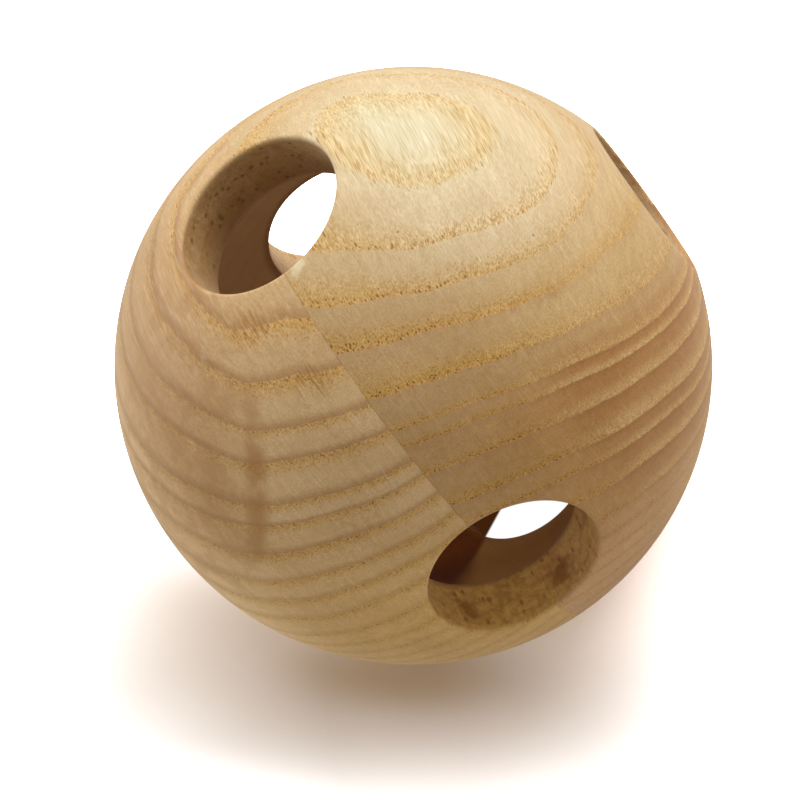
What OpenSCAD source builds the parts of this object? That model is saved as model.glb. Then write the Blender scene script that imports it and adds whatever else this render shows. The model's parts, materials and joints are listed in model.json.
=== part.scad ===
// Hollow wooden ball: two hollowed halves glued face to face, drilled through along three axes
// Frame: origin at the centre of the ball, glued faces on the plane x = 0, one bore along each axis,
// +Z up, so the ball stands on the rim of its lower mouth

/* [Ball] */
// Diameter of the finished ball
ball_d = 71; // [60:1:100]
// Thickness of the wooden wall round the hollow
wall = 7; // [4:0.5:12]

/* [Bores] */
// Diameter of the three bores that cross at the centre
bore_d = 20; // [10:0.5:26]
// Radius to which the rim of each mouth is sanded
rim_round = 0.4; // [0.2:0.1:1.5]

/* [Hidden] */
$fn = 96;

ball_r = ball_d / 2;
cavity_r = ball_r - wall;
bore_r = bore_d / 2;
// Length by which every cut runs past the wood
overrun = wall / 4;
// How far the sanded round reaches past its centre towards the bore wall and the ball's skin,
// just short of its whole radius, so that it meets both at a slight angle
round_reach_share = 0.97;
round_reach = rim_round * round_reach_share;

// Turns that lay something drawn along +Z on the axis of each bore
BORE_TURNS = [[0, 90, 0], [90, 0, 0], [0, 0, 0]];
// Turns that lay something drawn at the upper mouth on each of the six mouths
MOUTH_TURNS = [[0, 90, 0], [0, -90, 0], [90, 0, 0], [-90, 0, 0], [0, 0, 0], [180, 0, 0]];

// Section of the sanded round, in the plane through the bore's axis: first across, then along the axis
round_centre_across = bore_r + round_reach;
round_centre_out = ball_r - round_reach;
round_centre_along = sqrt(round_centre_out * round_centre_out - round_centre_across * round_centre_across);
// Where the round leaves the bore wall, just beyond its centre, and the ball's skin, just inside it
round_slip = sqrt(rim_round * rim_round - round_reach * round_reach);
skin_lean = asin(round_centre_across / round_centre_out);
skin_end_across = ball_r * sin(skin_lean) - round_slip * cos(skin_lean);
skin_end_along = ball_r * cos(skin_lean) + round_slip * sin(skin_lean);
wall_end_along = round_centre_along + round_slip;

// One bore, drawn along +Z, right through the ball
module bore() {
    cylinder(r = bore_r, h = ball_d + 2 * overrun, center = true);
}

// The sharp corner that sanding takes off the upper mouth, as a ring
module mouth_sanding() {
    rotate_extrude()
        difference() {
            polygon([
                [bore_r, wall_end_along],
                [bore_r - overrun, wall_end_along],
                [bore_r - overrun, ball_r + overrun],
                [skin_end_across, ball_r + overrun],
                [skin_end_across, skin_end_along]
            ]);
            translate([round_centre_across, round_centre_along])
                circle(r = rim_round);
        }
}

// Everything that is cut out of the ball: the round hollow, the three bores and the sanded rims
module hollows() {
    sphere(r = cavity_r);
    for (turn = BORE_TURNS)
        rotate(turn)
            bore();
    for (turn = MOUTH_TURNS)
        rotate(turn)
            mouth_sanding();
}

// Half of the drilled ball, on the side of the glued plane that side gives: 1 for +X, -1 for -X
module hollowed_half(side) {
    difference() {
        intersection() {
            sphere(r = ball_r);
            translate([side * ball_r, 0, 0])
                cube([ball_d, ball_d + overrun, ball_d + overrun], center = true);
        }
        hollows();
    }
}

module right_half() {
    color("burlywood")
        hollowed_half(1);
}

module left_half() {
    color("tan")
        hollowed_half(-1);
}

right_half();
left_half();
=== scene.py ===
"""Hollow drilled ball of pale ring-porous wood, glued from two halves.

Lengths are in metres unless a name says mm or px, and colours are in linear light.
"""
import json
import math

import bmesh
import bpy
from mathutils import Matrix, Vector


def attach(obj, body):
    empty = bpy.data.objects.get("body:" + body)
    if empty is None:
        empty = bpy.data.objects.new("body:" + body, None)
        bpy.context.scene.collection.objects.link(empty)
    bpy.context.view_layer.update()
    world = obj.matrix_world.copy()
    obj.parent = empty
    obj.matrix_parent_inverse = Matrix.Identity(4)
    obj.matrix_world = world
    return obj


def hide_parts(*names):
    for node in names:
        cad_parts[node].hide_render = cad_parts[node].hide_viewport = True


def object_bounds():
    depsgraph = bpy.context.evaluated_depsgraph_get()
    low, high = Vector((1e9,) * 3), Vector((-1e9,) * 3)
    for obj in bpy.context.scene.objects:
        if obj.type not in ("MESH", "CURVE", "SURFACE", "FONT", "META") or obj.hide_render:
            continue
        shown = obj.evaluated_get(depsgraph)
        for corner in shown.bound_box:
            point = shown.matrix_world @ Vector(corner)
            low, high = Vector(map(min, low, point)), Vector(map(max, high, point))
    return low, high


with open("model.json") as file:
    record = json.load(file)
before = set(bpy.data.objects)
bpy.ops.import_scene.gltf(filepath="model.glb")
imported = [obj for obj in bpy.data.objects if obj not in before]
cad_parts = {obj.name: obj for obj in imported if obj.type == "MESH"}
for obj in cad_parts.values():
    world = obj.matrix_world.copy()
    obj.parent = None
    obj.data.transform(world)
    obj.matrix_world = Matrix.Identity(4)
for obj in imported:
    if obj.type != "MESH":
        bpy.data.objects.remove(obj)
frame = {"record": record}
cad_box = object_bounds()

MM = 0.001

# The ball: its bores and the floor under it come from the frame, and the rest repeats the part's source
BORES = {mount["name"]: mount for mount in frame["record"]["mounts"]}
BORE_RADIUS = BORES["upright_bore"]["dims"]["r_mm"] * MM
FLOOR_HEIGHT = cad_box[0][2]
BALL_RADIUS = 35.5 * MM
WALL = 7.0 * MM
RIM_ROUND = 0.4 * MM
# The edges where the bores open into the hollow are eased a little
INNER_EASE = 0.15 * MM
SKIN_MM = BALL_RADIUS / MM
HOLLOW_MM = (BALL_RADIUS - WALL) / MM
BORE_MM = BORE_RADIUS / MM

# How finely the halves are meshed
TURN_STEPS = 192
SKIN_STEPS = 34
ROUND_STEPS = 5
WALL_STEPS = 8
MERGE_DISTANCE = 0.002 * MM
SHARP_EDGE = math.radians(50)

# Growth rings: the height at which each year starts where it meets the glued plane
RIGHT_RING_STARTS_MM = (
    -40, -36.5, -33, -29.5, -26, -22, -18.5, -14.5, -11, -7.5, -4.5, -1.2, 2.4,
    7.0, 11.0, 13.6, 17.7, 20.9, 22.5, 25.6, 29.4, 32.4, 35.1, 37.65, 39.8, 42,
)
LEFT_RING_STARTS_MM = (
    -40, -35.6, -31.8, -28.6, -25.3, -22.9, -19.5, -17.9, -15.5, -12.8, -10.6, -8.2, -5.6, -3.1,
    -0.4, 2.4, 5.5, 8.7, 12, 15.5, 19, 23, 27, 31, 35, 39, 43,
)

# Grain: the size of one feature of each kind, where Y is along the fibres
THREAD_MM = (0.15, 4.0, 0.15)
STREAK_MM = (0.8, 9.0, 0.8)
CLOUD_MM = (8.0, 24.0, 8.0)
WOOD_RAY_MM = (0.16, 3.0, 3.0)
SILVER_STREAK_MM = (0.45, 9.0, 0.45)
TORN_FIBRE_MM = (0.26, 2.5, 2.5)
DRILL_TORN_PORE_MM = (0.9, 1.4, 0.9)
# Vessels: the socket with their colour, their size, how crowded they are, and their share of early wood
VESSELS = (
    ("Small Pore", (0.25, 4.0, 0.25), 1.2, 0.9),
    ("Large Pore", (0.36, 6.0, 0.36), 1.5, 0.40),
)
# Waves in the rings: the size of a wave and how far it reaches
RING_WAVES_MM = (((12.0, 30.0, 12.0), 1.2), ((1.6, 7.0, 1.6), 0.22), ((0.35, 3.0, 0.35), 0.22))

# Places of single marks on the wood
SPLINTER_MM = (1.6, -10.6, 33.9)
SPECKS_MM = ((12.4, -12.3, 30.9), (11.0, -13.7, 30.8), (15.5, -18.7, 25.9), (23.4, -15.5, 21.7))
TORN_GRAIN_MM = (((-4.0, -20.6, 28.6), 0.9), ((-6.0, -12.2, 32.7), 1.2))
RIGHT_STAIN_MM = (2.4, -30.6, -9.7)
LEFT_STAIN_MM = (-8.2, -30.5, -5.7)
STAIN_COLOUR = (0.26, 0.08, 0.012, 1)
# How strongly lighter and darker grain acts on red, green and blue
TONE_STRENGTH = (0.75, 1.0, 1.5)
WOOD_ROUGHNESS = 0.48
EARLY_WOOD_ROUGHER = 0.10

# The photograph's view: its frame, the ball's place in it, and its axes in the part's frame
PHOTO_PIXELS = 800
BALL_CENTRE_PX = (413.3, 365.5)
BALL_RADIUS_PX = 299.2
VIEW_DISTANCE_IN_RADII = 8.05
VIEW_DISTANCE = VIEW_DISTANCE_IN_RADII * BALL_RADIUS
VIEW_RIGHT = Vector((0.7989, -0.3279, -0.5042))
VIEW_UP = Vector((0.5768, 0.6553, 0.4877))
FOCAL_PX = BALL_RADIUS_PX * math.sqrt(VIEW_DISTANCE_IN_RADII**2 - 1)
SENSOR_MM = 36.0
NEAREST_SEEN = 10 * MM

# Shade on the floor, as ovals in the photograph: middle, reach and turn.
# Fades are in shares of an oval's reach: 0 in its middle and 1 at its border
SHADE_OVAL = ((342, 643), (454, 157), 0.283)
SHADE_FADE = (0.166, 1.27)
SHADE_FADE_POWER = 0.885
LOW_SHADE_OVAL = ((195, 710), (383, 176), 0.0)
LOW_SHADE_FADE = (0.108, 1.0)
LOW_SHADE_LEAST = 0.412
CONTACT_OVAL = ((418, 676), (150, 45), 0.0)
CONTACT_FADE = (1.2, 0.2)
# The dark middle of the shade lies where the ball hides it in the photograph. Its reach is in metres
BALL_OVAL = (BALL_CENTRE_PX, (BALL_RADIUS_PX, BALL_RADIUS_PX), 0.0)
BEHIND_BALL_FADE = (0.997, 0.94)
HIDDEN_CORE = Vector((-13 * MM, -6 * MM, FLOOR_HEIGHT))
HIDDEN_CORE_REACH = (44 * MM, 12 * MM)
# Two places on the straight edge of the shade that shows in the front mouth
MOUTH_SHADE_EDGE_PX = ((497.2, 516.1), (482.8, 542.2))
MOUTH_SHADE_SOFT_MM = 0.15

FLOOR_SIZE = 6.0
SHADE_COLOUR = (0.793, 0.666, 0.553, 1)
CONTACT_COLOUR = (0.624, 0.473, 0.321, 1)
HIDDEN_CORE_COLOUR = (0.63, 0.50, 0.37, 1)
# Far brighter than white, so that the open floor is white even where little light falls on it
OPEN_FLOOR_COLOUR = (3.33, 3.43, 3.56, 1)
FLOOR_BOUNCE_COLOUR = (0.63, 0.575, 0.505, 1)
FLOOR_MIRRORED_COLOUR = (0.90, 0.90, 0.90, 1)
MOUTH_SHADE_COLOUR = (0.050, 0.014, 0.003, 1)
WHITE = (1, 1, 1, 1)

# Soft boxes: direction along the photograph's right, up and towards axes, width, height, and level
LAMPS = (
    ("top_box", (0.03, 0.93, 0.36), 0.80, 0.30, 0.93),
    ("left_box", (-0.95, 0.15, -0.20), 0.30, 0.40, 0.30),
)
LAMP_DISTANCE = 0.60
SKY_LEVEL = 0.40

# Sockets of node groups
FLOAT = "NodeSocketFloat"
INT = "NodeSocketInt"
VECTOR = "NodeSocketVector"
COLOR = "NodeSocketColor"
GEOMETRY = "NodeSocketGeometry"
MATERIAL = "NodeSocketMaterial"


class Wiring:
    """Makes and links the nodes of one tree, so that a formula reads as a line of calls."""

    def __init__(self, tree):
        self.tree = tree

    def feed(self, socket, value):
        """Links an input to an output, or sets it to a constant."""
        if isinstance(value, bpy.types.NodeSocket):
            self.tree.links.new(value, socket)
        else:
            socket.default_value = value

    def node(self, kind, inputs=None, **settings):
        """A new node: its settings are made first, and then its inputs are fed by name or number."""
        made = self.tree.nodes.new(kind)
        for name, value in settings.items():
            setattr(made, name, value)
        for key, value in (inputs or {}).items():
            self.feed(made.inputs[key], value)
        return made

    def call(self, kind, inputs=None, output=0, **settings):
        """One output of a new node."""
        return self.node(kind, inputs, **settings).outputs[output]

    def math(self, operation, *values, clamp=False):
        return self.call("ShaderNodeMath", dict(enumerate(values)), operation=operation, use_clamp=clamp)

    def chain(self, operation, values):
        """One operation carried along a row of values."""
        result = values[0]
        for value in values[1:]:
            result = self.math(operation, result, value)
        return result

    def add(self, *values):
        return self.chain("ADD", values)

    def mul(self, *values):
        return self.chain("MULTIPLY", values)

    def most(self, *values):
        return self.chain("MAXIMUM", values)

    def sub(self, a, b):
        return self.math("SUBTRACT", a, b)

    def rest(self, share):
        """What a share leaves of 1."""
        return self.sub(1.0, share)

    def absolute(self, value):
        return self.math("ABSOLUTE", value)

    def mul_add(self, value, factor, base):
        return self.math("MULTIPLY_ADD", value, factor, base)

    def mix(self, a, b, share):
        """a where share is 0, b where it is 1."""
        return self.mul_add(self.sub(b, a), share, a)

    def ramp(self, value, low, high, start=0.0, end=1.0, smooth=True):
        """start at low, end at high, and held beyond them."""
        kind = "SMOOTHSTEP" if smooth else "LINEAR"
        inputs = {0: value, 1: low, 2: high, 3: start, 4: end}
        return self.call("ShaderNodeMapRange", inputs, interpolation_type=kind)

    def slab(self, value, centre, half_width, soft):
        """1 within half_width of a place on one axis, and 0 a soft width further out."""
        return self.rest(self.ramp(self.absolute(self.sub(value, centre)), half_width, half_width + soft))

    def xyz(self, x, y, z):
        return self.call("ShaderNodeCombineXYZ", {0: x, 1: y, 2: z})

    def split(self, vector):
        return self.node("ShaderNodeSeparateXYZ", {0: vector}).outputs

    def vector_math(self, operation, *values, output="Vector"):
        return self.call("ShaderNodeVectorMath", dict(enumerate(values)), output, operation=operation)

    def dot(self, vector, axis):
        return self.vector_math("DOT_PRODUCT", vector, axis, output="Value")

    def distance(self, a, b):
        return self.vector_math("DISTANCE", a, b, output="Value")

    def in_cells(self, vector, cell):
        """A place counted in cells of a given size."""
        return self.vector_math("MULTIPLY", vector, [1 / side for side in cell])

    def noise(self, vector, scale=1.0, detail=2.0, roughness=0.5, output="Fac"):
        inputs = {"Vector": vector, "Scale": scale, "Detail": detail, "Roughness": roughness}
        return self.call("ShaderNodeTexNoise", inputs, output)

    def voronoi(self, vector):
        return self.node("ShaderNodeTexVoronoi", {"Vector": vector, "Scale": 1.0}).outputs

    def tone(self, color, level):
        """A wood colour made darker and warmer by a level below 0, and lighter and paler by one above it."""
        factor = self.vector_math("MULTIPLY_ADD", level, TONE_STRENGTH, (1.0, 1.0, 1.0))
        return self.vector_math("MULTIPLY", color, factor)

    def blend(self, share, a, b):
        """Colour a where share is 0, b where it is 1."""
        return self.call("ShaderNodeMix", {"Factor": share, 6: a, 7: b}, 2, data_type="RGBA")

    def layers(self, color, *coats):
        """A colour with others laid over it in turn, each where its share is 1."""
        for share, coat in coats:
            color = self.blend(share, color, coat)
        return color


def new_group(name, kind, inputs, outputs):
    """A node group with named sockets.

    An input is given as its name, socket type and default, and an output as its name and socket type.
    """
    tree = bpy.data.node_groups.new(name, kind)
    for label, socket_type, default in inputs:
        socket = tree.interface.new_socket(label, in_out="INPUT", socket_type=socket_type)
        if default is not None:
            socket.default_value = default
    for label, socket_type in outputs:
        tree.interface.new_socket(label, in_out="OUTPUT", socket_type=socket_type)
    w = Wiring(tree)
    return tree, w, w.node("NodeGroupInput").outputs, w.node("NodeGroupOutput").inputs


def place_group(w, tree, inputs):
    """A group placed in another tree, with its inputs fed by name."""
    kind = "ShaderNodeGroup" if w.tree.type == "SHADER" else "GeometryNodeGroup"
    return w.node(kind, inputs, node_tree=tree).outputs


def view_axes():
    """The photograph's right, up and towards-the-viewer directions in the part's frame, made square."""
    right = VIEW_RIGHT.normalized()
    up = (VIEW_UP - VIEW_UP.dot(right) * right).normalized()
    return right, up, right.cross(up)


# Shape of the halves

def seam_lean(w, turn):
    """How far the border between two mouths leans from a mouth's axis, in a given direction round it."""
    widest = w.most(w.absolute(w.math("COSINE", turn)), w.absolute(w.math("SINE", turn)))
    return w.math("ARCTAN2", 1.0, widest)


def unit_grid(w, across_steps, along_steps):
    """A flat grid, and each point's share of its way across and along."""
    grid = w.call("GeometryNodeMeshGrid", {
        "Size X": 1.0,
        "Size Y": 1.0,
        "Vertices X": w.add(across_steps, 1),
        "Vertices Y": w.add(along_steps, 1),
    }, "Mesh")
    x, y, _ = w.split(w.call("GeometryNodeInputPosition"))
    return grid, w.add(x, 0.5), w.add(y, 0.5)


def arc_point(w, lean, radius, centre_across, centre_along):
    """A point of an arc in a plane through a mouth's axis: its distance from the axis, and along it."""
    across = w.mul_add(w.math("SINE", lean), radius, centre_across)
    along = w.mul_add(w.math("COSINE", lean), radius, centre_along)
    return across, along


def round_axis(w, across, turn, along):
    """The place at a distance from the Z axis, in a given direction round it."""
    return w.xyz(w.mul(across, w.math("COSINE", turn)), w.mul(across, w.math("SINE", turn)), along)


def moved(w, grid, place):
    return w.call("GeometryNodeSetPosition", {"Geometry": grid, "Position": place})


def arc_band_tree():
    """A band round a mouth's axis whose section is an arc: skin, sanded rim, eased inner edge or hollow."""
    tree, w, given, result = new_group("Arc Band", "GeometryNodeTree", [
        ("Centre Across", FLOAT, 0.0),
        ("Centre Along", FLOAT, 0.0),
        ("Radius", FLOAT, 1.0),
        ("Start Lean", FLOAT, 0.0),
        ("End Lean", FLOAT, 1.0),
        ("Start At Seam", FLOAT, 0.0),
        ("End At Seam", FLOAT, 0.0),
        ("First Turn", FLOAT, 0.0),
        ("Last Turn", FLOAT, 1.0),
        ("Turn Steps", INT, 8),
        ("Lean Steps", INT, 8),
    ], [("Mesh", GEOMETRY)])
    grid, turn_share, lean_share = unit_grid(w, given["Turn Steps"], given["Lean Steps"])
    turn = w.mix(given["First Turn"], given["Last Turn"], turn_share)
    seam = seam_lean(w, turn)
    start = w.mix(given["Start Lean"], seam, given["Start At Seam"])
    end = w.mix(given["End Lean"], seam, given["End At Seam"])
    lean = w.mix(start, end, lean_share)
    across, along = arc_point(w, lean, given["Radius"], given["Centre Across"], given["Centre Along"])
    w.feed(result["Mesh"], moved(w, grid, round_axis(w, across, turn, along)))
    return tree


def wall_band_tree():
    """The straight wall of a bore, between the sanded rim and the eased inner edge."""
    tree, w, given, result = new_group("Wall Band", "GeometryNodeTree", [
        ("Radius", FLOAT, 1.0),
        ("Outer End", FLOAT, 1.0),
        ("Inner End", FLOAT, 0.0),
        ("First Turn", FLOAT, 0.0),
        ("Last Turn", FLOAT, 1.0),
        ("Turn Steps", INT, 8),
        ("Wall Steps", INT, 8),
    ], [("Mesh", GEOMETRY)])
    grid, turn_share, depth_share = unit_grid(w, given["Turn Steps"], given["Wall Steps"])
    turn = w.mix(given["First Turn"], given["Last Turn"], turn_share)
    along = w.mix(given["Outer End"], given["Inner End"], depth_share)
    w.feed(result["Mesh"], moved(w, grid, round_axis(w, given["Radius"], turn, along)))
    return tree


def glued_land_tree():
    """A strip of the glued face, between an arc of the outer section and an arc of the inner one."""
    tree, w, given, result = new_group("Glued Land", "GeometryNodeTree", [
        ("Outer Across", FLOAT, 0.0),
        ("Outer Along", FLOAT, 0.0),
        ("Outer Radius", FLOAT, 1.0),
        ("Outer Start", FLOAT, 0.0),
        ("Outer End", FLOAT, 1.0),
        ("Inner Across", FLOAT, 0.0),
        ("Inner Along", FLOAT, 0.0),
        ("Inner Radius", FLOAT, 0.5),
        ("Inner Start", FLOAT, 0.0),
        ("Inner End", FLOAT, 1.0),
        ("Side", FLOAT, 1.0),
        ("Lean Steps", INT, 8),
        ("Wall Steps", INT, 8),
    ], [("Mesh", GEOMETRY)])
    grid, lean_share, depth_share = unit_grid(w, given["Lean Steps"], given["Wall Steps"])
    ends = []
    for edge in ("Outer", "Inner"):
        lean = w.mix(given[edge + " Start"], given[edge + " End"], lean_share)
        radius = given[edge + " Radius"]
        ends.append(arc_point(w, lean, radius, given[edge + " Across"], given[edge + " Along"]))
    (outer_across, outer_along), (inner_across, inner_along) = ends
    across = w.mix(outer_across, inner_across, depth_share)
    along = w.mix(outer_along, inner_along, depth_share)
    w.feed(result["Mesh"], moved(w, grid, w.xyz(0.0, w.mul(across, given["Side"]), along)))
    return tree


def edge_arc(w, bore, edge_round, ball, sign):
    """The small round between a bore and a ball's surface: its centre, and how far that leans.

    sign is -1 for a round inside the skin, and 1 for one outside the hollow.
    """
    across = w.add(bore, edge_round)
    out = w.mul_add(edge_round, sign, ball)
    along = w.math("SQRT", w.sub(w.mul(out, out), w.mul(across, across)))
    return across, along, w.math("ARCSINE", w.math("DIVIDE", across, out))


def drilled_half_tree():
    """The half on +X: one whole mouth on X, and half of each of the four mouths on the glued plane."""
    tree, w, given, result = new_group("Drilled Half", "GeometryNodeTree", [
        ("Ball Radius", FLOAT, BALL_RADIUS),
        ("Wall", FLOAT, WALL),
        ("Bore Radius", FLOAT, BORE_RADIUS),
        ("Rim Round", FLOAT, RIM_ROUND),
        ("Inner Ease", FLOAT, INNER_EASE),
        ("Turn Steps", INT, TURN_STEPS),
        ("Skin Steps", INT, SKIN_STEPS),
        ("Round Steps", INT, ROUND_STEPS),
        ("Wall Steps", INT, WALL_STEPS),
        ("Wood", MATERIAL, None),
    ], [("Mesh", GEOMETRY)])
    arc = arc_band_tree()
    wall = wall_band_tree()
    land = glued_land_tree()
    ball = given["Ball Radius"]
    bore = given["Bore Radius"]
    rim_round = given["Rim Round"]
    inner_ease = given["Inner Ease"]
    hollow = w.sub(ball, given["Wall"])
    rim_across, rim_along, rim_lean = edge_arc(w, bore, rim_round, ball, -1)
    edge_across, edge_along, edge_lean = edge_arc(w, bore, inner_ease, hollow, 1)
    quarter = math.pi / 2
    to_axis = -quarter
    edge_end = w.sub(edge_lean, math.pi)

    def mouth(first_turn, last_turn, turn_steps):
        """The five bands of a mouth that is drawn round +Z, from one turn to another."""
        span = {"First Turn": first_turn, "Last Turn": last_turn, "Turn Steps": turn_steps}
        skin_band = {
            "Radius": ball, "Start At Seam": 1.0, "End Lean": rim_lean, "Lean Steps": given["Skin Steps"],
        }
        rim_band = {
            "Centre Across": rim_across, "Centre Along": rim_along, "Radius": rim_round,
            "Start Lean": rim_lean, "End Lean": to_axis, "Lean Steps": given["Round Steps"],
        }
        wall_band = {
            "Radius": bore, "Outer End": rim_along, "Inner End": edge_along,
            "Wall Steps": given["Wall Steps"],
        }
        edge_band = {
            "Centre Across": edge_across, "Centre Along": edge_along, "Radius": inner_ease,
            "Start Lean": to_axis, "End Lean": edge_end, "Lean Steps": given["Round Steps"],
        }
        hollow_band = {
            "Radius": hollow, "Start Lean": edge_lean, "End At Seam": 1.0, "Lean Steps": given["Skin Steps"],
        }
        bands = [(arc, skin_band), (arc, rim_band), (arc, edge_band), (arc, hollow_band), (wall, wall_band)]
        return [place_group(w, group, {**span, **band})["Mesh"] for group, band in bands]

    def lands(side):
        """The glued face beside a half mouth, as two strips: from seam to rim, and along the eased edges."""
        both = {"Side": side, "Wall Steps": given["Wall Steps"]}
        seam = math.pi / 4
        skin_strip = {
            "Outer Radius": ball, "Outer Start": seam, "Outer End": rim_lean,
            "Inner Radius": hollow, "Inner Start": seam, "Inner End": edge_lean,
            "Lean Steps": given["Skin Steps"],
        }
        edge_strip = {
            "Outer Across": rim_across, "Outer Along": rim_along, "Outer Radius": rim_round,
            "Outer Start": rim_lean, "Outer End": to_axis,
            "Inner Across": edge_across, "Inner Along": edge_along, "Inner Radius": inner_ease,
            "Inner Start": edge_end, "Inner End": to_axis,
            "Lean Steps": given["Round Steps"],
        }
        return [place_group(w, land, {**both, **strip})["Mesh"] for strip in (skin_strip, edge_strip)]

    def joined(meshes):
        join = w.node("GeometryNodeJoinGeometry")
        for mesh in meshes:
            w.feed(join.inputs[0], mesh)
        return join.outputs[0]

    whole = joined(mouth(0.0, 2 * math.pi, given["Turn Steps"]))
    whole = w.call("GeometryNodeTransform", {"Geometry": whole, "Rotation": (0.0, quarter, 0.0)})
    half_steps = w.math("DIVIDE", given["Turn Steps"], 2)
    half = joined(mouth(-quarter, quarter, half_steps) + lands(1.0) + lands(-1.0))
    quarter_turns = w.mul(w.call("GeometryNodeInputIndex"), quarter)
    ring = w.call("GeometryNodeInstanceOnPoints", {
        "Points": w.call("GeometryNodePoints", {"Count": 4}),
        "Instance": half,
        "Rotation": w.xyz(quarter_turns, 0.0, 0.0),
    })
    mesh = w.call("GeometryNodeRealizeInstances", {"Geometry": joined([whole, ring])})
    mesh = w.call("GeometryNodeMergeByDistance", {"Geometry": mesh, "Distance": MERGE_DISTANCE})
    w.feed(result["Mesh"], w.call("GeometryNodeSetMaterial", {"Geometry": mesh, "Material": given["Wood"]}))
    return tree


def drilled_half(name, tree, wood, mirrored):
    """One half as a plain mesh object, on +X or, mirrored, on -X."""
    carrier = bpy.data.objects.new(name + "_carrier", bpy.data.meshes.new(name + "_carrier"))
    bpy.context.scene.collection.objects.link(carrier)
    modifier = carrier.modifiers.new("Drilled Half", "NODES")
    modifier.node_group = tree
    sockets = {item.name: item.identifier for item in tree.interface.items_tree if item.in_out == "INPUT"}
    modifier[sockets["Wood"]] = wood
    evaluated = carrier.evaluated_get(bpy.context.evaluated_depsgraph_get())
    mesh = bpy.data.meshes.new_from_object(evaluated)
    bpy.data.objects.remove(carrier)
    mesh.name = name
    if mirrored:
        mesh.transform(Matrix.Diagonal((-1.0, 1.0, 1.0, 1.0)))
    shell = bmesh.new()
    shell.from_mesh(mesh)
    bmesh.ops.recalc_face_normals(shell, faces=shell.faces)
    for edge in shell.edges:
        edge.smooth = edge.calc_face_angle(math.pi) < SHARP_EDGE
    for face in shell.faces:
        face.smooth = True
    shell.to_mesh(mesh)
    shell.free()
    half = bpy.data.objects.new(name, mesh)
    bpy.context.scene.collection.objects.link(half)
    return half


# Effects that both woods use. Inside the groups, places are in mm

def ring_waves_tree():
    """Places pushed about a little, so that the rings wave as grown wood does."""
    tree, w, given, result = new_group("Ring Waves", "ShaderNodeTree", [
        ("Place mm", VECTOR, None),
    ], [("Waved mm", VECTOR)])
    place = given["Place mm"]
    waved = place
    for wave, reach in RING_WAVES_MM:
        push = w.noise(w.in_cells(place, wave), detail=1.0, output="Color")
        push = w.vector_math("SUBTRACT", push, (0.5, 0.5, 0.5))
        waved = w.vector_math("MULTIPLY_ADD", push, (reach, reach, reach), waved)
    w.feed(result["Waved mm"], waved)
    return tree


def ash_grain_tree():
    """Ring-porous grain: a year starts at a sharp edge with crowded pores and fades into dense wood."""
    tree, w, given, result = new_group("Ash Grain", "ShaderNodeTree", [
        ("Place mm", VECTOR, None),
        ("Ring Number", FLOAT, 0.0),
        ("Contrast", FLOAT, 1.0),
        ("Early Share", FLOAT, 0.5),
        ("Edge Softness", FLOAT, 0.01),
        ("Early Wood", COLOR, (0.60, 0.34, 0.12, 1)),
        ("Late Wood", COLOR, (0.74, 0.50, 0.25, 1)),
        ("Ring End", COLOR, (0.80, 0.58, 0.32, 1)),
        ("Ring Edge", COLOR, (0.74, 0.40, 0.15, 1)),
        ("Small Pore", COLOR, (0.38, 0.19, 0.045, 1)),
        ("Large Pore", COLOR, (0.13, 0.06, 0.015, 1)),
    ], [("Color", COLOR), ("Early", FLOAT), ("Threads", FLOAT)])
    place = given["Place mm"]
    contrast = given["Contrast"]
    phase = w.math("FRACT", given["Ring Number"])
    year = w.math("FLOOR", given["Ring Number"])
    year_tone = w.call("ShaderNodeTexWhiteNoise", {"W": year}, noise_dimensions="1D")
    width = w.mul(given["Early Share"], w.mix(0.8, 1.2, year_tone))
    started = w.ramp(phase, 0.0, given["Edge Softness"])
    early = w.mul(w.rest(w.ramp(phase, 0.0, width)), started, contrast)
    ending = w.mul(w.ramp(phase, 0.72, 1.0), contrast)
    edge = w.mul(w.rest(w.ramp(phase, 0.02, 0.07)), started, contrast)
    wood = w.layers(
        given["Late Wood"],
        (w.mul(ending, 0.7), given["Ring End"]),
        (w.mul(early, w.mix(0.75, 1.0, year_tone)), given["Early Wood"]),
        (w.mul(edge, 0.45), given["Ring Edge"]),
    )
    # Fine threads and broader streaks along the fibres, soft clouds, and thin pale rays across the rings
    threads = w.sub(w.noise(w.in_cells(place, THREAD_MM), detail=1.0), 0.5)
    streaks = w.sub(w.noise(w.in_cells(place, STREAK_MM), roughness=0.6), 0.5)
    cloud = w.sub(w.noise(w.in_cells(place, CLOUD_MM)), 0.5)
    rays = w.ramp(w.noise(w.in_cells(place, WOOD_RAY_MM), detail=0.0), 0.62, 0.74)
    level = w.mul(threads, w.mix(0.5, 1.4, early))
    for feature, strength in ((streaks, 0.35), (cloud, 0.38), (rays, 0.10)):
        level = w.mul_add(feature, strength, level)
    wood = w.tone(wood, level)
    # Vessels are tubes along the fibres: dots where the cut crosses them, dashes elsewhere
    for pore, cell, crowd, reach in VESSELS:
        tubes = w.voronoi(w.in_cells(place, cell))
        chance, girth, _ = w.split(tubes["Color"])
        rows = w.mul(w.rest(w.ramp(phase, 0.0, w.mul(width, reach))), started)
        present = w.math("LESS_THAN", chance, w.mul(rows, crowd, contrast))
        tube_radius = w.mix(0.30, 0.46, girth)
        hole = w.rest(w.ramp(tubes["Distance"], w.mul(tube_radius, 0.45), tube_radius))
        wood = w.blend(w.mul(hole, present, 0.85), wood, given[pore])
    w.feed(result["Color"], wood)
    w.feed(result["Early"], early)
    w.feed(result["Threads"], threads)
    return tree


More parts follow.
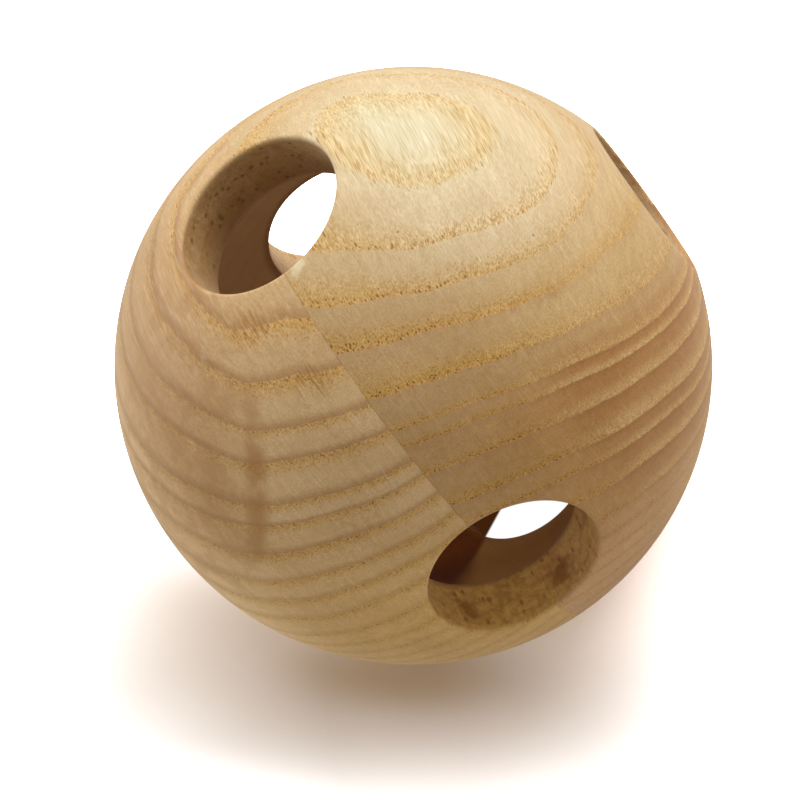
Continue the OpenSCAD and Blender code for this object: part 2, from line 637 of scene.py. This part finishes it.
def ragged_spot_tree():
    """A mark round a point: 1 within its radius, with a ragged border, and 0 a soft width further out."""
    tree, w, given, result = new_group("Ragged Spot", "ShaderNodeTree", [
        ("Place mm", VECTOR, None),
        ("Centre mm", VECTOR, None),
        ("Radius mm", FLOAT, 1.0),
        ("Soft mm", FLOAT, 1.0),
    ], [("Share", FLOAT)])
    place = given["Place mm"]
    radius = given["Radius mm"]
    soft = given["Soft mm"]
    raggedness = w.mul(w.sub(w.noise(place, 0.7, 3.0, 0.6), 0.5), soft, 2.0)
    away = w.add(w.distance(place, given["Centre mm"]), raggedness)
    w.feed(result["Share"], w.rest(w.ramp(away, radius, w.add(radius, soft))))
    return tree


def beside_shade_edge(w, place, unit):
    """How far a place lies to the left of the straight edge of the shade in the front mouth, in mm.

    The edge is a fixed plane through the ball, and unit is the length in which the place is given.
    """
    right, up, towards = view_axes()
    ends = [
        (x - BALL_CENTRE_PX[0]) * right + (BALL_CENTRE_PX[1] - y) * up - FOCAL_PX * towards
        for x, y in MOUTH_SHADE_EDGE_PX
    ]
    across = ends[0].cross(ends[1]).normalized()
    offset_mm = across.dot(towards) * VIEW_DISTANCE / MM
    return w.sub(w.mul(w.dot(place, across), unit / MM), offset_mm)


def painted_shade_corner(w, place):
    """Painted shade on the wood inside, beside the lower mouth on its left. Its edge is softer towards the
    front.
    """
    x, y, z = w.split(place)
    edge_start = w.ramp(y, -8.0, -13.0, -0.4, -1.8)
    edge_end = w.ramp(y, -8.0, -13.0, 0.3, 1.2)
    beside = w.ramp(beside_shade_edge(w, place, MM), edge_start, edge_end)
    near_y = w.slab(y, centre=-6.0, half_width=9.0, soft=4.0)
    near_x = w.slab(x, centre=-11.0, half_width=8.0, soft=4.0)
    return w.mul(beside, near_y, near_x, w.ramp(z, -12.0, -17.0))


def bore_wall_colour(w, place, from_centre, early):
    """Bore walls: golden in front, pale at the sides and back, brown if upright, and there darker inwards
    with painted shade.
    """
    x, y, _ = w.split(place)
    front = w.ramp(y, -17.0, -25.0)
    aside = w.most(w.ramp(w.absolute(x), 20.0, 28.0), w.ramp(y, 17.0, 25.0))
    upright = w.rest(w.most(front, aside))
    pale = w.layers((0.53, 0.31, 0.118, 1), (aside, (0.80, 0.57, 0.34, 1)), (front, (0.86, 0.51, 0.14, 1)))
    deep = w.layers((0.38, 0.20, 0.066, 1), (aside, (0.64, 0.42, 0.22, 1)), (front, (0.54, 0.27, 0.05, 1)))
    pore = w.layers((0.11, 0.05, 0.015, 1), (front, (0.24, 0.09, 0.018, 1)), (aside, (0.46, 0.26, 0.11, 1)))
    patchy = w.ramp(w.noise(place, 1.1, 3.0, 0.7), 0.3, 0.7)
    # Painted shade that darkens the upright bores towards the hollow
    inward_painted_shade = w.ramp(from_centre, SKIN_MM - 2.0, HOLLOW_MM + 0.5)
    stain = w.ramp(w.noise(place, 0.30, 4.0, 0.65), 0.52, 0.70)
    pores = w.voronoi(w.in_cells(place, DRILL_TORN_PORE_MM))
    chance, _, _ = w.split(pores["Color"])
    torn_open = w.math("LESS_THAN", chance, w.mix(0.14, 1.4, early))
    torn_pore = w.mul(w.ramp(pores["Distance"], 0.42, 0.16), torn_open)
    return w.layers(
        deep,
        (patchy, pale),
        (w.mul(inward_painted_shade, upright, 0.5), (0.24, 0.115, 0.035, 1)),
        (w.mul(stain, w.mix(0.6, 0.3, aside)), (0.28, 0.10, 0.02, 1)),
        (w.mul(torn_pore, 0.8), pore),
    )


def hollow_colour(w, place):
    """The hollow: paler at the back, and brown towards the front."""
    _, y, _ = w.split(place)
    return w.layers(
        (0.54, 0.29, 0.095, 1),
        (w.ramp(y, 0.0, 18.0), (0.95, 0.74, 0.48, 1)),
        (w.ramp(y, -4.0, -13.0), (0.28, 0.10, 0.016, 1)),
    )


def inner_edges(w, place, from_centre):
    """1 on the edges where the bores open into the hollow."""
    squares = [w.mul(value, value) for value in w.split(place)]
    from_bore_axis = w.math("SQRT", w.sub(w.mul(from_centre, from_centre), w.most(*squares)))
    by_bore = w.ramp(from_bore_axis, BORE_MM + 1.4, BORE_MM + 0.2)
    by_hollow = w.ramp(from_centre, HOLLOW_MM + 1.0, HOLLOW_MM + 0.1)
    return w.mul(by_bore, by_hollow)


def finish_and_painted_shade_tree():
    """What the making left: sanded wood outside, the unsanded bores and hollow, and the glue line. Painted
    shade darkens some of the inside.
    """
    tree, w, given, result = new_group("Workshop Finish And Painted Shade", "ShaderNodeTree", [
        ("Place mm", VECTOR, None),
        ("Sanded Wood", COLOR, (0.70, 0.48, 0.24, 1)),
        ("Early", FLOAT, 0.0),
    ], [("Color", COLOR)])
    place = given["Place mm"]
    x, y, z = w.split(place)
    from_centre = w.vector_math("LENGTH", place, output="Value")
    inside = w.ramp(from_centre, SKIN_MM - 0.2, SKIN_MM - 0.9)
    in_hollow = w.ramp(from_centre, HOLLOW_MM + 0.5, HOLLOW_MM + 0.1)
    # The unsanded inside, with painted shade in the upright bores
    unsanded_and_shaded = w.layers(
        bore_wall_colour(w, place, from_centre, given["Early"]),
        (in_hollow, hollow_colour(w, place)),
        (w.mul(inner_edges(w, place, from_centre), 0.6), (0.34, 0.18, 0.065, 1)),
    )
    # Colours of the painted shade in the corner beside the lower mouth
    corner = w.layers(
        (0.10, 0.012, 0.004, 1),
        (w.ramp(y, -11.5, -5.0), (0.25, 0.065, 0.010, 1)),
        (w.ramp(z, -26.3, -27.3), (0.50, 0.17, 0.025, 1)),
    )
    glue_line = w.mul(w.ramp(w.absolute(x), 0.09, 0.02), w.ramp(w.noise(place, 0.35), 0.35, 0.65, 0.15, 1.0))
    w.feed(result["Color"], w.layers(
        given["Sanded Wood"],
        (w.mul(inside, 0.8), unsanded_and_shaded),
        # Painted shade in the corner beside the lower mouth
        (w.mul(inside, painted_shade_corner(w, place)), corner),
        (w.mul(glue_line, 0.4), (0.22, 0.12, 0.05, 1)),
    ))
    return tree


# The wood of each half. Places and growth are in mm

def ring_number(w, growth, starts):
    """Counts the years along the growth: whole at the start of each ring, and rising evenly through it."""
    low, high = starts[0], starts[-1]
    years = len(starts) - 1
    even_growth = w.ramp(growth, low, high, smooth=False)
    node = w.node("ShaderNodeFloatCurve", {"Value": even_growth})
    curve = node.mapping.curves[0]
    curve.points[0].location = (0.0, 0.0)
    curve.points[-1].location = (1.0, 1.0)
    for year, start in enumerate(starts[1:-1], 1):
        curve.points.new((start - low) / (high - low), year / years)
    for point in curve.points:
        point.handle_type = "VECTOR"
    node.mapping.update()
    return w.mul(node.outputs[0], years)


def right_growth(w, place):
    """Growth in the right half, bark side up: rings lean and bow down towards +X, more so low down."""
    x, y, z = w.split(place)
    bow = w.ramp(z, 14.0, -8.0, 0.0095, 0.0144, smooth=False)
    slope = w.mul_add(x, bow, 0.28)
    rise = w.mul(w.most(y, 0.0), w.ramp(x, 21.0, 15.0, 0.0, 0.10))
    return w.add(w.mul_add(x, slope, z), rise)


def crease_of(w, z):
    """Where the rings of the left half kink: a line that runs down and to the left."""
    return w.mul_add(w.sub(30.0, z), -0.79, -10.15)


def left_growth(w, place):
    """Growth in the left half, bark side down: rings fan out to the left, with a notch along the crease."""
    x, _, z = w.split(place)
    lift = w.ramp(z, 0.0, 32.0, -0.216, 0.231, smooth=False)
    from_crease = w.absolute(w.sub(x, crease_of(w, z)))
    notch = w.math("SUBTRACT", 1.0, w.math("DIVIDE", from_crease, 6.0), clamp=True)
    notch_depth = w.ramp(z, 22.0, 31.0, 0.25, 1.0, smooth=False)
    height = w.add(w.mul_add(x, lift, z), w.mul(notch, notch_depth))
    return w.mul(height, -1.0)


def right_colours(w, place, growth):
    """Brown towards the heart, tan in the middle, cream near the bark. Years start golden, or pale on +X."""
    x, _, _ = w.split(place)
    side = w.ramp(x, 11.0, 20.0)
    outward = w.ramp(x, 2.0, 20.0)
    heart = w.ramp(growth, w.mix(27.0, 26.5, side), w.mix(18.0, 22.0, side))
    heart = w.mul(heart, w.ramp(x, 0.0, 13.0, 0.45, 1.0))
    # Paler, calmer wood low down towards the pith; its paleness is partly painted bounce light on the lower
    # right
    pith_and_bounce_light = w.ramp(growth, 8.0, -6.0)
    bark = w.ramp(growth, 29.5, 36.0)
    # The innermost loop of rings on top of the ball
    loop = w.ramp(growth, 36.8, 38.8)
    pale_start = w.mul(side, w.ramp(growth, 30.0, 24.0))
    beside_glue = w.mul(w.ramp(x, 12.0, 3.0, 0.0, 0.28), w.ramp(growth, 26.0, 29.0))
    faint = w.mul(w.ramp(x, 17.0, 26.0), w.ramp(growth, 24.0, 27.0), w.ramp(growth, 35.0, 32.0))
    early_share = w.ramp(growth, 24.0, 31.0, 0.38, 0.62)
    return {
        "Late Wood": w.layers(
            (0.59, 0.37, 0.165, 1),
            (side, (0.68, 0.455, 0.21, 1)),
            (heart, w.blend(side, (0.57, 0.31, 0.11, 1), (0.51, 0.245, 0.083, 1))),
            (pith_and_bounce_light, (0.72, 0.42, 0.20, 1)),
            (bark, w.blend(outward, (0.70, 0.49, 0.25, 1), (0.77, 0.59, 0.345, 1))),
            (loop, (0.81, 0.71, 0.47, 1)),
        ),
        "Early Wood": w.layers(
            (0.66, 0.37, 0.09, 1),
            (heart, (0.56, 0.295, 0.08, 1)),
            (pale_start, (0.75, 0.48, 0.205, 1)),
            (bark, w.blend(outward, (0.72, 0.45, 0.16, 1), (0.76, 0.54, 0.265, 1))),
            (loop, (0.76, 0.50, 0.18, 1)),
        ),
        "Ring End": w.layers(
            (0.58, 0.355, 0.165, 1),
            (heart, w.blend(side, (0.50, 0.27, 0.11, 1), (0.41, 0.185, 0.06, 1))),
            (pith_and_bounce_light, (0.62, 0.34, 0.15, 1)),
            (bark, w.blend(outward, (0.70, 0.49, 0.25, 1), (0.78, 0.60, 0.35, 1))),
        ),
        "Ring Edge": w.layers(
            (0.74, 0.40, 0.15, 1),
            (pale_start, (0.46, 0.24, 0.085, 1)),
            (bark, (0.74, 0.44, 0.15, 1)),
        ),
        "Small Pore": w.layers(
            (0.42, 0.20, 0.03, 1),
            (w.most(side, bark), (0.58, 0.31, 0.08, 1)),
            (loop, (0.66, 0.40, 0.125, 1)),
        ),
        "Large Pore": w.layers(
            (0.21, 0.08, 0.012, 1),
            (bark, (0.36, 0.15, 0.025, 1)),
            (side, (0.52, 0.28, 0.08, 1)),
            (loop, (0.60, 0.34, 0.10, 1)),
        ),
        "Early Share": w.add(early_share, w.mul(pale_start, 0.25), beside_glue, w.mul(loop, 0.20)),
        "Edge Softness": w.ramp(growth, 34.0, 37.5, 0.01, 0.20),
        "Contrast": w.mul(w.mix(1.0, 0.5, faint), w.mix(1.0, 0.5, pith_and_bounce_light)),
    }


def left_colours(w, place, growth):
    """Pinkish tan inside and olive tan towards the bark, paler at the far left with painted light. Each year
    ends in brown wood that pales low down.
    """
    x, _, z = w.split(place)
    bark = w.ramp(growth, -19.0, -2.0)
    high = w.ramp(growth, -26.0, -30.0)
    low = w.ramp(growth, -21.0, -3.0)
    beyond_crease = w.ramp(w.sub(crease_of(w, z), x), -1.0, 5.0)
    # The far left side is made paler: painted light on that side of the ball
    far_left_painted_light = w.ramp(x, -22.0, -32.0)
    softened = w.mul(beyond_crease, w.ramp(growth, -30.0, -27.0))
    return {
        "Late Wood": w.layers(
            (0.77, 0.51, 0.25, 1),
            (high, (0.69, 0.44, 0.205, 1)),
            (beyond_crease, w.blend(far_left_painted_light, (0.62, 0.365, 0.16, 1), (0.80, 0.495, 0.225, 1))),
            (bark, w.blend(far_left_painted_light, (0.78, 0.48, 0.165, 1), (0.91, 0.57, 0.20, 1))),
        ),
        "Early Wood": w.layers(
            (0.70, 0.40, 0.125, 1),
            (beyond_crease, (0.60, 0.345, 0.125, 1)),
            (bark, (0.69, 0.395, 0.10, 1)),
        ),
        "Ring End": w.layers(
            (0.46, 0.23, 0.085, 1),
            (beyond_crease, (0.34, 0.155, 0.055, 1)),
            (low, (0.64, 0.375, 0.13, 1)),
        ),
        "Ring Edge": w.blend(beyond_crease, (0.74, 0.40, 0.15, 1), (0.36, 0.165, 0.055, 1)),
        "Small Pore": w.layers(
            (0.50, 0.25, 0.05, 1),
            (beyond_crease, (0.47, 0.245, 0.075, 1)),
            (low, (0.56, 0.29, 0.055, 1)),
        ),
        "Large Pore": w.blend(beyond_crease, (0.36, 0.15, 0.025, 1), (0.38, 0.18, 0.05, 1)),
        "Early Share": 0.42,
        "Contrast": w.mul(w.mix(1.0, 0.8, softened), w.ramp(growth, -12.0, 8.0, 1.0, 0.7)),
    }


def ragged_spot(w, tree, place, centre, radius, soft):
    """The share of one mark, by the group that makes them."""
    mark = {"Place mm": place, "Centre mm": centre, "Radius mm": radius, "Soft mm": soft}
    return place_group(w, tree, mark)["Share"]


def right_marks(w, place, color, spots):
    """A pale splinter on the rim of the upper mouth, a few dark specks, and a stain in the front bore."""
    splinter = ragged_spot(w, spots, place, SPLINTER_MM, radius=0.35, soft=0.8)
    color = w.blend(w.mul(splinter, 0.75), color, (0.92, 0.78, 0.50, 1))
    for centre in SPECKS_MM:
        speck = ragged_spot(w, spots, place, centre, radius=0.05, soft=0.16)
        color = w.blend(w.mul(speck, 0.65), color, (0.14, 0.06, 0.015, 1))
    stain = ragged_spot(w, spots, place, RIGHT_STAIN_MM, radius=0.5, soft=2.4)
    return w.blend(w.mul(stain, 0.7), color, STAIN_COLOUR)


def left_marks(w, place, color, spots):
    """A brown smear and blush at the crease, silver streaks high up, torn grain, a scratch and a stain."""
    x, y, z = w.split(place)
    front = w.math("LESS_THAN", y, 0.0)
    crease = crease_of(w, z)
    smear_width = w.slab(x, crease, half_width=0.2, soft=1.7)
    smear_length = w.slab(z, centre=21.5, half_width=5.5, soft=4.0)
    smear = w.mul(smear_width, smear_length, front, w.ramp(w.noise(place, 0.25), 0.20, 0.50))
    beyond_crease = w.ramp(w.sub(crease, x), -2.0, 2.0)
    blush = w.mul(beyond_crease, w.ramp(w.noise(place, 0.26, 3.0, 0.6), 0.42, 0.62), front)
    silver = w.ramp(w.noise(w.in_cells(place, SILVER_STREAK_MM)), 0.50, 0.68)
    color = w.layers(
        color,
        (w.mul(smear, 0.7), (0.46, 0.215, 0.065, 1)),
        (w.mul(blush, 0.5), (0.52, 0.27, 0.10, 1)),
        (w.mul(silver, w.ramp(z, 28.0, 32.0), 0.20), (0.88, 0.70, 0.46, 1)),
    )
    fibres = w.ramp(w.noise(w.in_cells(place, TORN_FIBRE_MM), detail=1.0), 0.45, 0.60)
    for centre, reach in TORN_GRAIN_MM:
        torn = w.mul(ragged_spot(w, spots, place, centre, radius=reach, soft=1.8), fibres)
        color = w.blend(w.mul(torn, 0.7), color, (0.46, 0.22, 0.05, 1))
    scratch_width = w.slab(x, centre=-3.3, half_width=0.03, soft=0.08)
    scratch_length = w.slab(z, centre=19.5, half_width=1.2, soft=0.5)
    scratch = w.mul(scratch_width, scratch_length, front)
    stain = ragged_spot(w, spots, place, LEFT_STAIN_MM, radius=0.3, soft=1.6)
    return w.layers(
        color,
        (w.mul(scratch, 0.4), (0.82, 0.66, 0.44, 1)),
        (w.mul(stain, 0.7), STAIN_COLOUR),
    )


def wood_groups():
    """The node groups that both woods are made with, each built once."""
    return {
        "waves": ring_waves_tree(),
        "grain": ash_grain_tree(),
        "finish_and_shade": finish_and_painted_shade_tree(),
        "spot": ragged_spot_tree(),
    }


def wood_material(name, groups, growth_of, ring_starts, colours_of, marks_of):
    """Sanded and oiled wood of one half."""
    material = bpy.data.materials.new(name)
    material.use_nodes = True
    tree = material.node_tree
    tree.nodes.clear()
    w = Wiring(tree)
    place = w.in_cells(w.call("ShaderNodeTexCoord", output="Object"), (MM, MM, MM))
    growth = growth_of(w, place_group(w, groups["waves"], {"Place mm": place})["Waved mm"])
    rings = ring_number(w, growth, ring_starts)
    colours = colours_of(w, place, growth)
    wood = place_group(w, groups["grain"], {"Place mm": place, "Ring Number": rings, **colours})
    made = place_group(w, groups["finish_and_shade"], {
        "Place mm": place,
        "Sanded Wood": wood["Color"],
        "Early": wood["Early"],
    })
    bump = w.call("ShaderNodeBump", {"Strength": 0.3, "Distance": 0.05 * MM, "Height": wood["Threads"]})
    shader = w.call("ShaderNodeBsdfPrincipled", {
        "Base Color": marks_of(w, place, made["Color"], groups["spot"]),
        "Roughness": w.mul_add(wood["Early"], EARLY_WOOD_ROUGHER, WOOD_ROUGHNESS),
        "Normal": bump,
        "Specular IOR Level": 0.14,
        "Sheen Weight": 0.38,
        "Sheen Roughness": 0.45,
        "Sheen Tint": (1.0, 0.79, 0.50, 1),
    })
    w.node("ShaderNodeOutputMaterial", {"Surface": shader})
    return material


# Stage

def add_camera():
    right, up, towards = view_axes()
    camera = bpy.data.objects.new("camera", bpy.data.cameras.new("camera"))
    bpy.context.scene.collection.objects.link(camera)
    turn = Matrix((right, up, towards)).transposed().to_4x4()
    camera.matrix_world = Matrix.Translation(towards * VIEW_DISTANCE) @ turn
    camera.data.sensor_width = SENSOR_MM
    camera.data.lens = SENSOR_MM * FOCAL_PX / PHOTO_PIXELS
    camera.data.shift_x = (PHOTO_PIXELS / 2 - BALL_CENTRE_PX[0]) / PHOTO_PIXELS
    camera.data.shift_y = (BALL_CENTRE_PX[1] - PHOTO_PIXELS / 2) / PHOTO_PIXELS
    camera.data.clip_start = NEAREST_SEEN
    bpy.context.scene.camera = camera


def add_lamp(name, direction, width, height, level):
    """A soft box that faces the ball. level is how bright it makes a white sheet that faces it."""
    right, up, towards = view_axes()
    aim = (direction[0] * right + direction[1] * up + direction[2] * towards).normalized()
    wide = (right - right.dot(aim) * aim).normalized()
    data = bpy.data.lights.new(name, "AREA")
    data.shape = "RECTANGLE"
    data.size = width
    data.size_y = height
    data.energy = level * math.pi**2 * LAMP_DISTANCE**2
    lamp = bpy.data.objects.new(name, data)
    bpy.context.scene.collection.objects.link(lamp)
    turn = Matrix((wide, aim.cross(wide), aim)).transposed().to_4x4()
    lamp.matrix_world = Matrix.Translation(aim * LAMP_DISTANCE) @ turn


def oval_distance(w, place, centre_px, reach_px, turn):
    """How far a place on the floor lies from the middle of an oval in the photograph: 1 is its border."""
    right, up, towards = view_axes()
    depth = w.sub(VIEW_DISTANCE, w.dot(place, towards))
    cosine = math.cos(turn)
    sine = math.sin(turn)
    x = BALL_CENTRE_PX[0] - centre_px[0]
    y = BALL_CENTRE_PX[1] - centre_px[1]
    long_way = (cosine * right - sine * up, cosine * x + sine * y, reach_px[0])
    short_way = (-sine * right - cosine * up, cosine * y - sine * x, reach_px[1])
    squares = []
    for axis, shift, reach in (long_way, short_way):
        from_ball = w.mul(w.math("DIVIDE", w.dot(place, axis), depth), FOCAL_PX)
        share = w.math("DIVIDE", w.add(from_ball, shift), reach)
        squares.append(w.mul(share, share))
    return w.math("SQRT", w.add(*squares))


def floor_colour(w, place):
    """What the camera sees of the floor: a warm pool of shade under the ball, and white beyond it."""
    open_floor = w.ramp(oval_distance(w, place, *SHADE_OVAL), *SHADE_FADE, smooth=False)
    open_floor = w.math("POWER", open_floor, SHADE_FADE_POWER)
    past_low_shade = w.ramp(oval_distance(w, place, *LOW_SHADE_OVAL), *LOW_SHADE_FADE, LOW_SHADE_LEAST, 1.0)
    open_floor = w.ramp(w.mul(open_floor, past_low_shade), 0.0, 1.0)
    contact = w.ramp(oval_distance(w, place, *CONTACT_OVAL), *CONTACT_FADE)
    behind_ball = w.ramp(oval_distance(w, place, *BALL_OVAL), *BEHIND_BALL_FADE)
    hidden_core = w.mul(behind_ball, w.ramp(w.distance(place, HIDDEN_CORE), *HIDDEN_CORE_REACH))
    return w.layers(
        SHADE_COLOUR,
        (contact, CONTACT_COLOUR),
        (open_floor, OPEN_FLOOR_COLOUR),
        (hidden_core, HIDDEN_CORE_COLOUR),
    )


def floor_material():
    """Pale floor: warm in the shade, white elsewhere, and dark in a corner of what the lower mouth shows."""
    material = bpy.data.materials.new("pale_floor")
    material.use_nodes = True
    tree = material.node_tree
    tree.nodes.clear()
    w = Wiring(tree)
    light_path = w.node("ShaderNodeLightPath").outputs
    seen = light_path["Is Camera Ray"]
    mirrored = w.most(light_path["Is Glossy Ray"], light_path["Is Transmission Ray"])
    place = w.call("ShaderNodeTexCoord", output="Object")
    color = w.layers(
        FLOOR_BOUNCE_COLOUR,
        (mirrored, FLOOR_MIRRORED_COLOUR),
        (seen, floor_colour(w, place)),
    )
    matt = w.call("ShaderNodeBsdfDiffuse", {"Color": color})
    x, y, _ = w.split(place)
    from_axis = w.math("SQRT", w.add(w.mul(x, x), w.mul(y, y)))
    under_mouth = w.math("LESS_THAN", from_axis, BORE_RADIUS + RIM_ROUND)
    shaded = w.ramp(beside_shade_edge(w, place, 1.0), -MOUTH_SHADE_SOFT_MM, MOUTH_SHADE_SOFT_MM)
    glow_colour = w.blend(shaded, WHITE, MOUTH_SHADE_COLOUR)
    glow = w.call("ShaderNodeEmission", {"Color": glow_colour, "Strength": 1.0})
    shader = w.call("ShaderNodeMixShader", {0: w.mul(seen, under_mouth), 1: matt, 2: glow})
    w.node("ShaderNodeOutputMaterial", {"Surface": shader})
    return material


def add_floor():
    reach = FLOOR_SIZE / 2
    corners = [(-reach, -reach), (reach, -reach), (reach, reach), (-reach, reach)]
    mesh = bpy.data.meshes.new("floor")
    mesh.from_pydata([(x, y, FLOOR_HEIGHT) for x, y in corners], [], [(0, 1, 2, 3)])
    mesh.materials.append(floor_material())
    floor = bpy.data.objects.new("floor", mesh)
    bpy.context.scene.collection.objects.link(floor)


def add_world():
    """Even soft light from all round, seen as plain white."""
    world = bpy.data.worlds.new("studio")
    bpy.context.scene.world = world
    world.use_nodes = True
    tree = world.node_tree
    tree.nodes.clear()
    w = Wiring(tree)
    seen = w.call("ShaderNodeLightPath", output="Is Camera Ray")
    strength = w.mix(SKY_LEVEL, 1.0, seen)
    background = w.call("ShaderNodeBackground", {"Color": WHITE, "Strength": strength})
    w.node("ShaderNodeOutputWorld", {"Surface": background})


bpy.context.scene.view_settings.view_transform = "Standard"
add_camera()
add_world()
add_floor()
for lamp in LAMPS:
    add_lamp(*lamp)

groups = wood_groups()
woods = {
    "right_half": wood_material(
        "right_wood", groups, right_growth, RIGHT_RING_STARTS_MM, right_colours, right_marks),
    "left_half": wood_material(
        "left_wood", groups, left_growth, LEFT_RING_STARTS_MM, left_colours, left_marks),
}
half_tree = drilled_half_tree()
for node, wood in woods.items():
    half = drilled_half(node + "_wood", half_tree, wood, mirrored=(node == "left_half"))
    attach(half, "root")
    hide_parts(node)
